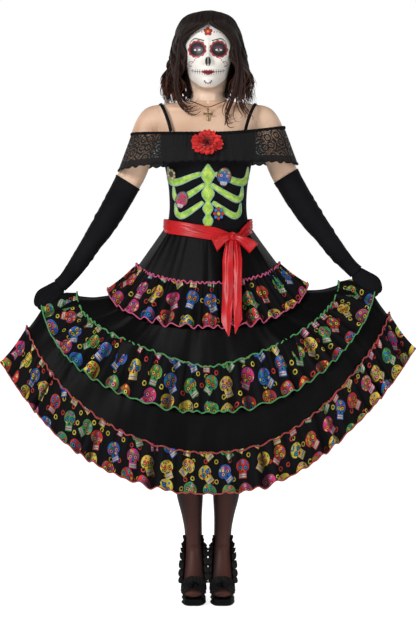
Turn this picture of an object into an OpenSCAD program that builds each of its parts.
// Life-size catrina display figure: a papier-mache body on a wood and steel
// armature, dressed in a tiered skirt that both hands hold out to the sides.
// Millimetres. +Z is up and the figure faces -Y. The origin is on the floor
// under the middle of the figure. "left" is the figure's own left, on +X.

/* [Body] */
// Wall of the papier-mache shells
shell_t = 5; // [4:0.5:6]
// Sides of each torso and head section
body_sides = 24; // [16:4:32]
// Sides of each arm and leg section
limb_sides = 14; // [12:2:20]

/* [Armature] */
// Diameter of the spine post
post_d = 25; // [20:1:30]
// Diameter of the turned neck peg that carries the head
peg_d = 30; // [24:1:36]
// Diameter of the rod that runs through both shoulders
rod_d = 10; // [8:1:12]
// Diameter of the leg rods
leg_rod_d = 16; // [12:1:18]
// Radial running clearance of the neck peg and the shoulder rod
run_gap = 0.08; // [0.05:0.01:0.1]

/* [Dress] */
// Thickness of the black skirt cloth with its lining
skirt_t = 2.5; // [2:0.5:3]
// Thickness of a gathered ruffle
ruffle_t = 3; // [2:0.5:4]
// Space between the skirt and the ruffles sewn on it
ruffle_gap = 3; // [2:0.5:5]
// Width of the sash
sash_w = 38; // [30:1:44]

/* [Shoes] */
// Thickness of the platform under the ball of the foot
platform_t = 22; // [18:1:22]
// Width of each sole
sole_w = 76; // [70:1:78]
// Diameter of the blind socket in each sole, for a stand
socket_d = 10; // [8:1:12]
// Depth of that socket
socket_h = 16; // [10:1:16]

/* [Hidden] */
$fn = 48;

// Shoulder hinge: its axis runs along X at this depth and height, and the
// torso and the arms meet at the planes x = +-shoulder_x.
shoulder_y = 5;
shoulder_z = 1418;
shoulder_x = 150;
part_gap = 1;

// Neck hinge: its axis is vertical at this depth.
neck_y = 8;
neck_base = 1478;

// The skirt parts at x = +-held_x: what is outside hangs from the hand.
held_x = 330;

// The left hand is held a little higher than the right one. Everything beyond
// the shoulders rises on the left and drops on the right by this amount at x.
hand_rise = 20;
function rise(x) = hand_rise * pow(min(1, max(0, x - shoulder_x) / 270), 1.5);
function risen(p, side) = [p[0], p[1], p[2] + side * rise(p[0])];

// ---------- shared shapes ----------

function unit(v) = v / norm(v);

// Points of an arc of a rounded section: centre c, side s, depth d, radii, exponent.
function arc(c, s, d, rs, rd, from, to, n, power = 2) =
    [for (i = [0:n - 1]) let (
        a = from + (to - from) * i / (n - 1),
        p = cos(a), q = sin(a),
        k = pow(pow(abs(p), power) + pow(abs(q), power), -1 / power)
    ) c + rs * k * p * s + rd * k * q * d];

// One closed section, without the repeated last point.
function section(c, s, d, rs, rd, n, power = 2) =
    arc(c, s, d, rs, rd, 0, 360 * (n - 1) / n, n, power);

// Faces of a grid of m rows and n columns; wrapped joins the last column to the first.
function grid_faces(m, n, first, wrapped, flipped) =
    [for (j = [0:m - 2]) for (i = [0:(wrapped ? n : n - 1) - 1])
        let (k = (i + 1) % n, a = first + j * n + i, b = first + j * n + k,
             c = first + (j + 1) * n + k, d = first + (j + 1) * n + i)
        each flipped ? [[a, b, c], [a, c, d]] : [[a, c, b], [a, d, c]]];

// A tube with a wall between outer and inner sections. A closed top covers both.
module wall_loft(outer, inner, closed_top = false) {
    m = len(outer);
    n = len(outer[0]);
    q = m * n;
    e = q - n;
    polyhedron(
        points = concat([for (r = outer) each r], [for (r = inner) each r]),
        faces = concat(
            grid_faces(m, n, 0, true, false),
            grid_faces(m, n, q, true, true),
            [for (i = [0:n - 1]) let (k = (i + 1) % n)
                each [[i, k, q + k], [i, q + k, q + i]]],
            closed_top
                ? [[for (i = [n - 1:-1:0]) e + i], [for (i = [0:n - 1]) q + e + i]]
                : [for (i = [0:n - 1]) let (k = (i + 1) % n)
                    each [[e + k, e + i, q + e + i], [e + k, q + e + i, q + e + k]]]
        ),
        convexity = 8
    );
}

// A curved plate between two grids of points with the same rows and columns.
module plate(outer, inner) {
    m = len(outer);
    n = len(outer[0]);
    q = m * n;
    edge = concat(
        [for (i = [0:n - 2]) [i, i + 1]],
        [for (j = [0:m - 2]) [j * n + n - 1, (j + 1) * n + n - 1]],
        [for (i = [n - 1:-1:1]) [(m - 1) * n + i, (m - 1) * n + i - 1]],
        [for (j = [m - 1:-1:1]) [j * n, (j - 1) * n]]
    );
    polyhedron(
        points = concat([for (r = outer) each r], [for (r = inner) each r]),
        faces = concat(
            grid_faces(m, n, 0, false, false),
            grid_faces(m, n, q, false, true),
            [for (e = edge) each [[e[0], e[1], q + e[1]], [e[0], q + e[1], q + e[0]]]]
        ),
        convexity = 10
    );
}

// A pair of mirrored parts shares one module: side is 1 for left and -1 for right.
module sided(side) {
    if (side > 0) children();
    else mirror([1, 0, 0]) children();
}

// ---------- torso ----------

// Sections of the torso: height, half width, front, back, roundness.
TORSO = [
    [905, 150, -98, 112, 2.2],
    [960, 156, -102, 118, 2.2],
    [1040, 140, -98, 104, 2.2],
    [1100, 119, -91, 82, 2.2],
    [1130, 113, -87, 76, 2.2],
    [1160, 110, -85, 73, 2.2],
    [1190, 110, -86, 72, 2.2],
    [1230, 113, -92, 75, 2.2],
    [1280, 122, -112, 80, 2.2],
    [1325, 130, -130, 84, 2.2],
    [1362, 134, -118, 88, 2.2]
];
SHOULDERS = [
    [1363, 134, -117, 88, 2.3],
    [1380, 147, -104, 89, 2.6],
    [1400, 150, -92, 88, 2.9],
    [1432, 150, -75, 84, 3],
    [1453, 150, -63, 77, 3],
    [1465, 146, -56, 71, 2.8],
    [1471, 126, -52, 68, 2.4],
    [1475, 94, -50, 67, 2.2],
    [neck_base, 62, -48, 65, 2]
];

function body_ring(t, off) =
    let (yc = (t[2] + t[3]) / 2, ry = (t[3] - t[2]) / 2)
    section([0, yc, t[0]], [1, 0, 0], [0, 1, 0], t[1] + off, ry + off, body_sides, t[4]);

module torso_shell() {
    color("tan")
    wall_loft([for (t = TORSO) body_ring(t, 0)], [for (t = TORSO) body_ring(t, -shell_t)]);
}

// The rod holes through both sides are true bores.
module shoulder_shell() {
    color("tan")
    difference() {
        wall_loft(
            [for (t = SHOULDERS) body_ring(t, 0)],
            [for (t = SHOULDERS) body_ring(t, -shell_t)]
        );
        translate([-200, shoulder_y, shoulder_z])
        rotate([0, 90, 0])
        cylinder(d = rod_d, h = 400);
    }
}

bodice_low = 1118;

module bodice() {
    rows = [for (t = TORSO) if (t[0] > bodice_low) t];
    color([0.05, 0.05, 0.05])
    wall_loft([for (t = rows) body_ring(t, 4)], [for (t = rows) body_ring(t, 1.5)]);
}

// ---------- armature ----------

beam_h = 44;
beam_low = shoulder_z - beam_h / 2;
beam_high = shoulder_z + beam_h / 2;
tenon = 14;
hip_low = 868;
hip_high = 912;

module spine_post() {
    color("silver")
    translate([0, neck_y, hip_high])
    cylinder(d = post_d, h = beam_low + tenon - hip_high);
}

module neck_peg() {
    color("burlywood")
    translate([0, neck_y, beam_high - tenon])
    cylinder(d = peg_d, h = 1538 - beam_high + tenon);
}

module shoulder_beam() {
    color("burlywood")
    difference() {
        translate([-115, neck_y - 25, beam_low])
        cube([230, 50, beam_h]);
        translate([0, neck_y, beam_low - 1])
        cylinder(d = post_d, h = tenon + 1);
        translate([0, neck_y, beam_high - tenon])
        cylinder(d = peg_d, h = tenon + 1);
        translate([-120, shoulder_y, shoulder_z])
        rotate([0, 90, 0])
        cylinder(d = rod_d, h = 240);
    }
}

module shoulder_rod() {
    reach = shoulder_x + 24;
    color("silver")
    translate([-reach, shoulder_y, shoulder_z])
    rotate([0, 90, 0])
    cylinder(d = rod_d, h = 2 * reach);
}

leg_rod_x = 76;
leg_rod_low = 640;

module hip_block() {
    color("burlywood")
    difference() {
        translate([-112, -45, hip_low])
        cube([224, 105, hip_high - hip_low]);
        for (s = [-1, 1])
        translate([s * leg_rod_x, neck_y, hip_low - 1])
        cylinder(d = leg_rod_d, h = 30 + 1);
    }
}

module leg_rods() {
    color("silver")
    for (s = [-1, 1])
    translate([s * leg_rod_x, neck_y, leg_rod_low])
    cylinder(d = leg_rod_d, h = hip_low + 30 - leg_rod_low);
}

// ---------- legs and shoes ----------

// Sections from toe to hip: sideways place, y, z, tilt, half width, half depth.
LEG = [
    [42, -113, 34, 80, 22, 8],
    [42, -93, 38, 78, 33, 12],
    [42, -62, 48, 68, 34, 16],
    [42, -30, 82, 55, 30, 20],
    [42, 6, 128, 42, 27, 33],
    [43, 12, 162, 16, 26, 36],
    [44, 10, 205, 0, 26, 31],
    [48, 10, 250, 0, 30, 34],
    [54, 12, 310, 0, 39, 42],
    [58, 16, 380, 0, 43, 49],
    [60, 14, 440, 0, 43, 48],
    [61, 4, 510, 0, 43, 46],
    [63, -4, 570, 0, 47, 50],
    [67, -2, 640, 0, 51, 56],
    [71, 2, 730, 0, 60, 68],
    [75, 6, 820, 0, 68, 78],
    [76, 8, 864, 0, 71, 82]
];

function leg_arc(t, off, from, to, n) =
    arc([t[0], t[1], t[2]], [1, 0, 0], [0, cos(t[3]), -sin(t[3])],
        t[4] + off, t[5] + off, from, to, n);
function leg_ring(t, off) = leg_arc(t, off, 0, 360 * (limb_sides - 1) / limb_sides, limb_sides);

module leg(side) {
    color("saddlebrown")
    sided(side)
    wall_loft([for (t = LEG) leg_ring(t, 0)], [for (t = LEG) leg_ring(t, -shell_t)]);
}

shoe_x = 42;
socket_y = -80;
heel_y = 44;
seat_z = 92;

module sole(side) {
    // Side outline of the sole as depth and height: platform, shank and heel seat.
    outline = [
        [-126, 8], [-118, 0], [-44, 0], [-30, 8], [20, seat_z], [66, seat_z], [68, 99],
        [24, 98], [-44, platform_t], [-126, platform_t]
    ];
    // Outline from above: half width along the sole, taken round both ends.
    plan = [
        for (y = [-126:12:66]) [sole_w / 2 * foot_width(y), y],
        for (y = [66:-12:-126]) [-sole_w / 2 * foot_width(y), y]
    ];
    color([0.08, 0.08, 0.08])
    sided(side)
    translate([shoe_x, 0, 0])
    difference() {
        intersection() {
            translate([-sole_w / 2, 0, 0])
            rotate([90, 0, 90])
            linear_extrude(sole_w)
            polygon(outline);
            translate([0, 0, -1])
            linear_extrude(150)
            polygon(plan);
        }
        translate([0, socket_y, -1])
        cylinder(d = socket_d, h = socket_h + 1);
    }
}

// Share of the full sole width at depth y: round toe, narrower heel.
function foot_width(y) =
    y < -80 ? sqrt(1 - pow((y + 80) / 50, 2) * 0.9) : 0.66 + 0.34 * pow(cos((y + 80) * 90 / 146), 2);

module heel(side) {
    color([0.08, 0.08, 0.08])
    sided(side)
    translate([shoe_x, heel_y, 0])
    cylinder(d1 = 26, d2 = 40, h = seat_z);
}

module shoe_upper(side) {
    rows = [for (i = [1:3]) LEG[i]];
    color([0.08, 0.08, 0.08])
    sided(side)
    wall_loft([for (t = rows) leg_ring(t, 4)], [for (t = rows) leg_ring(t, 1)]);
}

// Counter round the heel, carried up both sides of the ankle by a frill.
module shoe_back(side) {
    rows = [for (i = [4:6]) LEG[i]];
    color([0.08, 0.08, 0.08])
    sided(side)
    plate(
        [for (t = rows) leg_arc(t, 8, -20, 200, 14)],
        [for (t = rows) leg_arc(t, 1, -20, 200, 14)]
    );
}

// ---------- arms ----------

// Sections from shoulder to wrist: x, z, tilt of the section, half width, half depth.
ARM = [
    [shoulder_x + part_gap, shoulder_z, 0, 50, 49],
    [172, 1410, 25, 46, 49],
    [188, 1378, 52, 41, 47],
    [204, 1322, 62, 41, 44],
    [221, 1275, 60, 40, 41],
    [240, 1238, 58, 38, 39],
    [275, 1176, 60, 36, 36],
    [313, 1116, 57, 33, 34],
    [345, 1072, 54, 28, 30],
    [382, 1024, 53, 25, 26],
    [424, 978, 44, 22, 18]
];
arm_y = 5;
glove_first = 5;

// The arm reaches forward a little towards the hand.
function arm_depth(x) = arm_y - 14 * max(0, x - 240) / 170;
function arm_ring(t, off, side) =
    [for (p = section([t[0], arm_depth(t[0]), t[1]], [sin(t[2]), 0, cos(t[2])], [0, 1, 0],
        t[3] + off, t[4] + off, limb_sides)) risen(p, side)];

module arm(side) {
    color("tan")
    sided(side)
    wall_loft(
        [for (t = ARM) arm_ring(t, 0, side)],
        [for (t = ARM) arm_ring(t, 1 - shell_t, side)]
    );
}

// Wooden disc inside the top of the arm; its bore turns on the shoulder rod.
module arm_hub(side) {
    color("burlywood")
    sided(side)
    translate([shoulder_x + 5, shoulder_y, shoulder_z])
    rotate([0, 90, 0])
    difference() {
        cylinder(d = 66, h = 12);
        translate([0, 0, -1])
        cylinder(d = rod_d + 2 * run_gap, h = 14);
    }
}

module glove(side) {
    rows = [for (i = [glove_first:len(ARM) - 1]) ARM[i]];
    color([0.03, 0.03, 0.03])
    sided(side)
    wall_loft(
        [for (t = rows) arm_ring(t, 2, side)],
        [for (t = rows) arm_ring(t, 0.5, side)]
    );
}

// Knuckles and fingertips of the four fingers as x, z, from the index on.
FINGERS = [
    [[511, 952], [517, 903]],
    [[502, 943], [507, 890]],
    [[490, 935], [493, 884]],
    [[477, 929], [478, 886]]
];
finger_y = -27;
thumb_y = 27;

module ball(x, y, z, r) {
    translate([x, y, z])
    sphere(r = r, $fn = 12);
}

// Closed glove hand: fingers in front of the gathered cloth and thumb behind it.
module hand(side) {
    color([0.03, 0.03, 0.03])
    sided(side)
    translate([0, 0, side * rise(490)])
    union() {
        hull() {
            ball(440, -9, 964, 17);
            ball(500, -18, 962, 12);
            ball(474, -18, 940, 12);
        }
        for (f = FINGERS) {
            hull() {
                ball(f[0][0], finger_y + 7, f[0][1], 10);
                ball(f[0][0] + 2, finger_y, f[0][1] - 24, 8.5);
            }
            hull() {
                ball(f[0][0] + 2, finger_y, f[0][1] - 24, 8.5);
                ball(f[1][0], finger_y, f[1][1], 7);
            }
        }
        hull() {
            ball(450, 4, 962, 12);
            ball(466, 22, 940, 10);
        }
        hull() {
            ball(466, 22, 940, 10);
            ball(482, thumb_y, 906, 8.5);
        }
    }
}

// ---------- lace bertha ----------

// Top and bottom edges: half width, front centre height, side height, front, back.
LACE_TOP = [224, 1384, 1403, -122, 106];
LACE_LOW = [262, 1308, 1288, -146, 128];
lace_t = 2;

// A point on the lace at turn u (0 front, 90 side, 180 back) and drop v, off outwards.
function lace_point(u, v, off) =
    let (t = LACE_TOP * (1 - v) + LACE_LOW * v,
         k = pow(pow(abs(cos(u)), 2.6) + pow(abs(sin(u)), 2.6), -1 / 2.6),
         y = cos(u) > 0 ? (t[3] - off) * k * cos(u) : -(t[4] + off) * k * cos(u))
    [(t[0] + off) * k * sin(u), y, t[1] + (t[2] - t[1]) * pow(sin(u), 2)];

function clamp_x(p, low, high) = [min(max(p[0], low), high), p[1], p[2]];

// A stretch of lace between two turns, kept between two planes of x.
module lace(from, to, low, high, n) {
    color([0.12, 0.08, 0.06])
    plate(
        [for (v = [0, 0.5, 1]) [for (i = [0:n])
            clamp_x(lace_point(from + (to - from) * i / n, v, lace_t), low, high)]],
        [for (v = [0, 0.5, 1]) [for (i = [0:n])
            clamp_x(lace_point(from + (to - from) * i / n, v, 0), low, high)]]
    );
}

module lace_front() {
    lace(-43, 43, -shoulder_x, shoulder_x, 16);
}

module lace_back() {
    lace(137, 223, -shoulder_x, shoulder_x, 16);
}

module lace_sleeve(side) {
    sided(side)
    lace(38, 142, shoulder_x + part_gap, 300, 18);
}

module strap(side) {
    // Route over the shoulder as depth and height, from the front edge of the lace.
    route = [[-92, 1400], [-80, 1430], [-66, 1453], [-46, 1467], [0, 1472], [46, 1470],
             [72, 1455], [86, 1430], [94, 1402]];
    strap_w = 10;
    color([0.05, 0.05, 0.05])
    sided(side)
    translate([116, 0, 0])
    plate(
        [for (p = route) [[0, p[0], p[1] + 4], [strap_w, p[0], p[1] + 4]]],
        [for (p = route) [[0, p[0], p[1] + 2.5], [strap_w, p[0], p[1] + 2.5]]]
    );
}

// Layers of petals as stacked rings on the front of the lace.
module rose() {
    color([0.8, 0.05, 0.08])
    translate([0, -139, 1359])
    rotate([73, 0, 0])
    union() {
        cylinder(d1 = 76, d2 = 84, h = 10);
        translate([0, 0, 10])
        cylinder(d1 = 74, d2 = 62, h = 10);
        translate([0, 0, 20])
        cylinder(d1 = 50, d2 = 30, h = 9);
    }
}

// ---------- sash and bow ----------

bow_x = 71;
bow_y = -122;
bow_z = 1080;

// The sash dips towards the bow, so each section slopes with x.
function sash_ring(z, off) =
    let (t = [z, 121, -93, 84, 2.2])
    [for (p = body_ring(t, off)) [p[0], p[1], p[2] - 16 * cos((p[0] - bow_x) * 0.9)]];

module sash() {
    high = 1134;
    low = high - sash_w;
    color([0.78, 0.04, 0.07])
    wall_loft(
        [for (z = [low, (low + high) / 2, high]) sash_ring(z, 9)],
        [for (z = [low, (low + high) / 2, high]) sash_ring(z, 6.5)]
    );
}

module bow_knot() {
    color([0.78, 0.04, 0.07])
    translate([bow_x - 13, bow_y - 18, bow_z - 15])
    cube([26, 28, 30]);
}

// Flattened loop: outline as x, z, and its thickness in y.
module bow_loops() {
    color([0.78, 0.04, 0.07])
    translate([bow_x, bow_y - 11, bow_z])
    rotate([90, 0, 0])
    for (loop = [[[-14, 9], [-36, 12], [-57, 2], [-56, -40], [-38, -38], [-14, -10]],
                 [[14, 9], [48, 2], [72, -20], [58, -50], [42, -40], [14, -10]]])
    linear_extrude(8)
    polygon(loop);
}

module bow_tails() {
    // Left edge, right edge, top and tip of each tail.
    color([0.78, 0.04, 0.07])
    for (tail = [[44, 74, 795], [78, 99, 802]])
    plate(
        [for (k = [0:5]) let (z = bow_z - 18 - (bow_z - 18 - tail[2]) * k / 5)
            [[tail[0], tail_y(z) - 4, z], [tail[1], tail_y(z) - 4, z]]],
        [for (k = [0:5]) let (z = bow_z - 18 - (bow_z - 18 - tail[2]) * k / 5)
            [[tail[0], tail_y(z), z], [tail[1], tail_y(z), z]]]
    );
}

// The tails lie a little in front of the skirt and its first ruffle.
function tail_y(z) = bow_y + 5 + (z - bow_z) * 0.29;

// ---------- skirt ----------

// Seam lines from waist to hem: half width, centre height, side height, front,
// back, and two exponents: how round the seam is at the side, and how early it rises.
SKIRT = [
    [134, 1086, 1092, -106, 97, 1.5, 1],
    [205, 943, 994, -142, 142, 1.5, 1.2],
    [287, 816, 912, -172, 178, 1.3, 1.2],
    [388, 703, 915, -196, 204, 1, 0.65],
    [485, 575, 888, -216, 226, 1.3, 1],
    [535, 462, 828, -230, 240, 1.7, 1],
    [600, 345, 714, -252, 262, 1.95, 1]
];
tier_1 = [1, 2];
tier_2 = [3, 4];
tier_3 = [5, 6];
side_y = -9;

function skirt_row(v) =
    let (i = max(0, min(floor(v), len(SKIRT) - 2))) SKIRT[i] + (SKIRT[i + 1] - SKIRT[i]) * (v - i);

// Point of the skirt at turn u (0 front, 90 side, 180 back) and seam number v.
function skirt_point(u, v) =
    let (t = skirt_row(v), c = cos(u))
    [t[0] * sin(u),
     side_y + (c > 0 ? (t[3] - side_y) * c : -(t[4] - side_y) * c),
     t[1] + (t[2] - t[1]) * pow(1 - pow(abs(c), t[5]), t[6])];

function skirt_normal(u, v) =
    unit(cross(skirt_point(u, v + 0.1) - skirt_point(u, v - 0.1),
               skirt_point(u + 2, v) - skirt_point(u - 2, v)));

function skirt_off(u, v, off) = skirt_point(u, v) + off * skirt_normal(u, v);

// Largest turn that a centre panel reaches before the plane where the skirt parts.
function panel_turn(v) = let (a = skirt_row(v)[0]) a > held_x + 1 ? asin((held_x + 1) / a) : 90;

function centre_grid(rows, off, back, n) =
    [for (v = rows) let (e = min(panel_turn(v), 89)) [for (i = [0:n])
        let (u = e * (2 * i / n - 1),
             p = risen(skirt_off(back ? 180 - abs(u) : abs(u), v, off), sign(u)))
        clamp_x([sign(u) * p[0], p[1], p[2]], -held_x, held_x)]];

// A panel of the middle of the skirt, in front or behind. Back panels run the
// other way round, so the outer and the inner grid change places.
module centre_panel(rows, low, high, back, n) {
    near = centre_grid(rows, low, back, n);
    far = centre_grid(rows, high, back, n);
    if (back) plate(near, far);
    else plate(far, near);
}

function held_grid(rows, off, n, side) =
    [for (v = rows) let (e = panel_turn(v)) [for (i = [0:n])
        clamp_x(risen(skirt_off(e + (180 - 2 * e) * i / n, v, off), side),
            held_x + part_gap, 700)]];

// A panel of the side that the hand holds, from front to back.
module held_panel(rows, low, high, n, side) {
    sided(side)
    plate(held_grid(rows, high, n, side), held_grid(rows, low, n, side));
}

base_rows = [0.02, 0.35, 0.7, 1, 1.5, 2, 2.5, 3, 3.5, 4, 4.5, 5];
held_rows = [2.56, 2.8, 3, 3.4, 3.7, 4, 4.5, 5];
tier_2_held = [3.05, 3.4, 3.7, 4];
ruffle_low = skirt_t + ruffle_gap;
ruffle_high = ruffle_low + ruffle_t;

function tier_rows(tier) = [for (k = [0:3]) tier[0] + 0.02 + (tier[1] - tier[0] - 0.02) * k / 3];

module skirt_centre(back) {
    color([0.04, 0.04, 0.05])
    centre_panel(base_rows, 0, skirt_t, back, 16);
}

module ruffle_centre(tier, back) {
    color("orchid")
    centre_panel(tier_rows(tier), ruffle_low, ruffle_high, back, 16);
}

module skirt_held(side) {
    color([0.04, 0.04, 0.05])
    held_panel(held_rows, 0, skirt_t, 12, side);
}

module ruffle_held(side, rows) {
    color("orchid")
    held_panel(rows, ruffle_low, ruffle_high, 12, side);
}

// ---------- head ----------

// Sections of head and neck: height, half width, front, back.
HEAD = [
    [neck_base + 1, 58, -46, 63],
    [1488, 53, -44, 60],
    [1500, 51, -43, 58],
    [1512, 51, -52, 58],
    [1516, 52, -88, 60],
    [1545, 60, -98, 66],
    [1580, 69, -101, 76],
    [1615, 74, -100, 84],
    [1650, 76, -96, 87],
    [1685, 72, -86, 82],
    [1710, 61, -70, 68],
    [1726, 44, -48, 50],
    [1733, 26, -28, 30]
];

function head_ring(t, off, lift) =
    body_ring([t[0] + lift, t[1], t[2], t[3], 2.1], off);
function inner_lift(z) = z > 1505 && z < 1550 ? 4 : z > 1700 ? -3 : 0;

module head_shell() {
    color("wheat")
    wall_loft(
        [for (t = HEAD) head_ring(t, 0, 0)],
        [for (t = HEAD) head_ring(t, 1 - shell_t, inner_lift(t[0]))]
    );
}

// Wooden block in the neck; its bore turns on the neck peg.
module neck_socket() {
    socket_low = 1490;
    socket_high = 1530;
    color("burlywood")
    translate([0, neck_y, socket_low])
    difference() {
        cylinder(d = 80, h = socket_high - socket_low);
        translate([0, 0, -1])
        cylinder(d = peg_d + 2 * run_gap, h = socket_high - socket_low + 2);
    }
}

// Outside of the hair: height, half width, front, back.
HAIR = [
    [1486, 130, -66, 112],
    [1530, 126, -78, 118],
    [1580, 116, -84, 118],
    [1630, 112, -92, 116],
    [1688, 98, -100, 106],
    [1715, 80, -84, 92],
    [1735, 54, -56, 66],
    [1748, 24, -26, 32]
];
hair_gap = 2;
hair_split = 4;

// Inside of the hair at the same heights: the head with a small gap.
SCALP = [
    [1486, 58, -50, 66],
    [1530, 62, -98, 68],
    [1580, 71, -103, 78],
    [1630, 77, -100, 88],
    [1688, 75, -90, 86],
    [1712, 64, -73, 72],
    [1730, 46, -50, 54],
    [1737, 26, -28, 32]
];

module wig_crown() {
    color([0.08, 0.05, 0.04])
    wall_loft(
        [for (i = [hair_split:7]) head_ring(HAIR[i], 0, 0)],
        [for (i = [hair_split:7]) head_ring(SCALP[i], hair_gap, 0)],
        closed_top = true
    );
}

function hair_arc(t, off, from, to, n) =
    arc([0, (t[2] + t[3]) / 2, t[0]], [1, 0, 0], [0, 1, 0],
        t[1] + off, (t[3] - t[2]) / 2 + off, from, to, n, 2.1);

// Hair below the crown between two turns, 0 at the left and 90 at the back.
module wig_part(from, to) {
    n = 8;
    top = HAIR[hair_split] - [1, 0, 0, 0];
    scalp_top = SCALP[hair_split] - [1, 0, 0, 0];
    color([0.08, 0.05, 0.04])
    plate(
        [for (i = [0:hair_split]) hair_arc(i < hair_split ? HAIR[i] : top, 0, from, to, n)],
        [for (i = [0:hair_split])
            hair_arc(i < hair_split ? SCALP[i] : scalp_top, hair_gap, from, to, n)]
    );
}

module wig_back() {
    wig_part(46, 134);
}

module wig_side(side) {
    sided(side)
    wig_part(-34, 45);
}

// ---------- necklace ----------

cord_d = 2.4;
pendant_y = -89;
pendant_z = 1456;

// Half of the cord's route, from behind the neck to the pendant.
NECK_CORD = [
    [0, 69, 1480], [30, 64, 1480], [56, 45, 1480], [68, 16, 1480],
    [65, -20, 1480], [50, -52, 1475.5], [30, -71, 1467], [10, -86, 1457.6],
    [0, pendant_y, pendant_z]
];
cord_route = concat(
    [for (i = [0:len(NECK_CORD) - 1]) NECK_CORD[i]],
    [for (i = [len(NECK_CORD) - 2:-1:1]) [-NECK_CORD[i][0], NECK_CORD[i][1], NECK_CORD[i][2]]]
);

// The cord is a closed loop, so its sections join end to end.
module necklace() {
    count = len(cord_route);
    sides = 8;
    ring = [for (k = [0:count - 1]) let (
        ahead = cord_route[(k + 1) % count],
        behind = cord_route[(k + count - 1) % count],
        along = unit(ahead - behind),
        s = unit(cross(along, [0, 0, 1])),
        d = cross(along, s)
    ) section(cord_route[k], s, d, cord_d / 2, cord_d / 2, sides)];
    color([0.15, 0.1, 0.08])
    polyhedron(
        points = [for (r = ring) each r],
        faces = [for (k = [0:count - 1]) for (i = [0:sides - 1]) let (
            l = (k + 1) % count, j = (i + 1) % sides,
            a = k * sides + i, b = k * sides + j, c = l * sides + j, e = l * sides + i
        ) each [[a, c, b], [a, e, c]]],
        convexity = 6
    );
}

// Cross with flared arms, hanging from a ring that goes round the cord.
module cross_pendant() {
    thick = 2;
    // Reach of the top, side, bottom and side arms.
    arms = [16, 14, 20, 14];
    color([0.3, 0.26, 0.2])
    union() {
        translate([0, pendant_y, pendant_z - 1])
        rotate([0, 90, 0])
        rotate_extrude($fn = 32)
        translate([3.2, 0])
        circle(r = 0.8, $fn = 16);
        translate([0, pendant_y + thick / 2, 0])
        rotate([90, 0, 0])
        linear_extrude(thick)
        translate([0, pendant_z - 20])
        for (turn = [0:3])
        rotate(90 * turn)
        polygon([[-2, 0], [-4.5, arms[turn]], [4.5, arms[turn]], [2, 0]]);
    }
}

// ---------- draw ----------

spine_post();
shoulder_beam();
shoulder_rod();
neck_peg();
hip_block();
leg_rods();
torso_shell();
shoulder_shell();
leg(1);  // left_leg
leg(-1);  // right_leg
bodice();
strap(1);  // left_strap
strap(-1);  // right_strap
lace_front();
lace_back();
rose();
sash();
bow_knot();
bow_loops();
bow_tails();
skirt_centre(false);  // skirt_front
skirt_centre(true);  // skirt_back
ruffle_centre(tier_1, false);  // ruffle_1_front
ruffle_centre(tier_1, true);  // ruffle_1_back
ruffle_centre(tier_2, false);  // ruffle_2_front
ruffle_centre(tier_2, true);  // ruffle_2_back
ruffle_centre(tier_3, false);  // ruffle_3_front
ruffle_centre(tier_3, true);  // ruffle_3_back
sole(1);  // left_sole
sole(-1);  // right_sole
heel(1);  // left_heel
heel(-1);  // right_heel
shoe_upper(1);  // left_shoe_upper
shoe_upper(-1);  // right_shoe_upper
shoe_back(1);  // left_shoe_back
shoe_back(-1);  // right_shoe_back
necklace();
cross_pendant();
head_shell();
neck_socket();
wig_crown();
wig_back();
wig_side(1);  // wig_left
wig_side(-1);  // wig_right
arm(1);  // left_arm
arm(-1);  // right_arm
arm_hub(1);  // left_arm_hub
arm_hub(-1);  // right_arm_hub
glove(1);  // left_glove
glove(-1);  // right_glove
hand(1);  // left_hand
hand(-1);  // right_hand
lace_sleeve(1);  // left_lace
lace_sleeve(-1);  // right_lace
skirt_held(1);  // skirt_left
skirt_held(-1);  // skirt_right
ruffle_held(1, tier_2_held);  // ruffle_2_left
ruffle_held(-1, tier_2_held);  // ruffle_2_right
ruffle_held(1, tier_rows(tier_3));  // ruffle_3_left
ruffle_held(-1, tier_rows(tier_3));  // ruffle_3_right
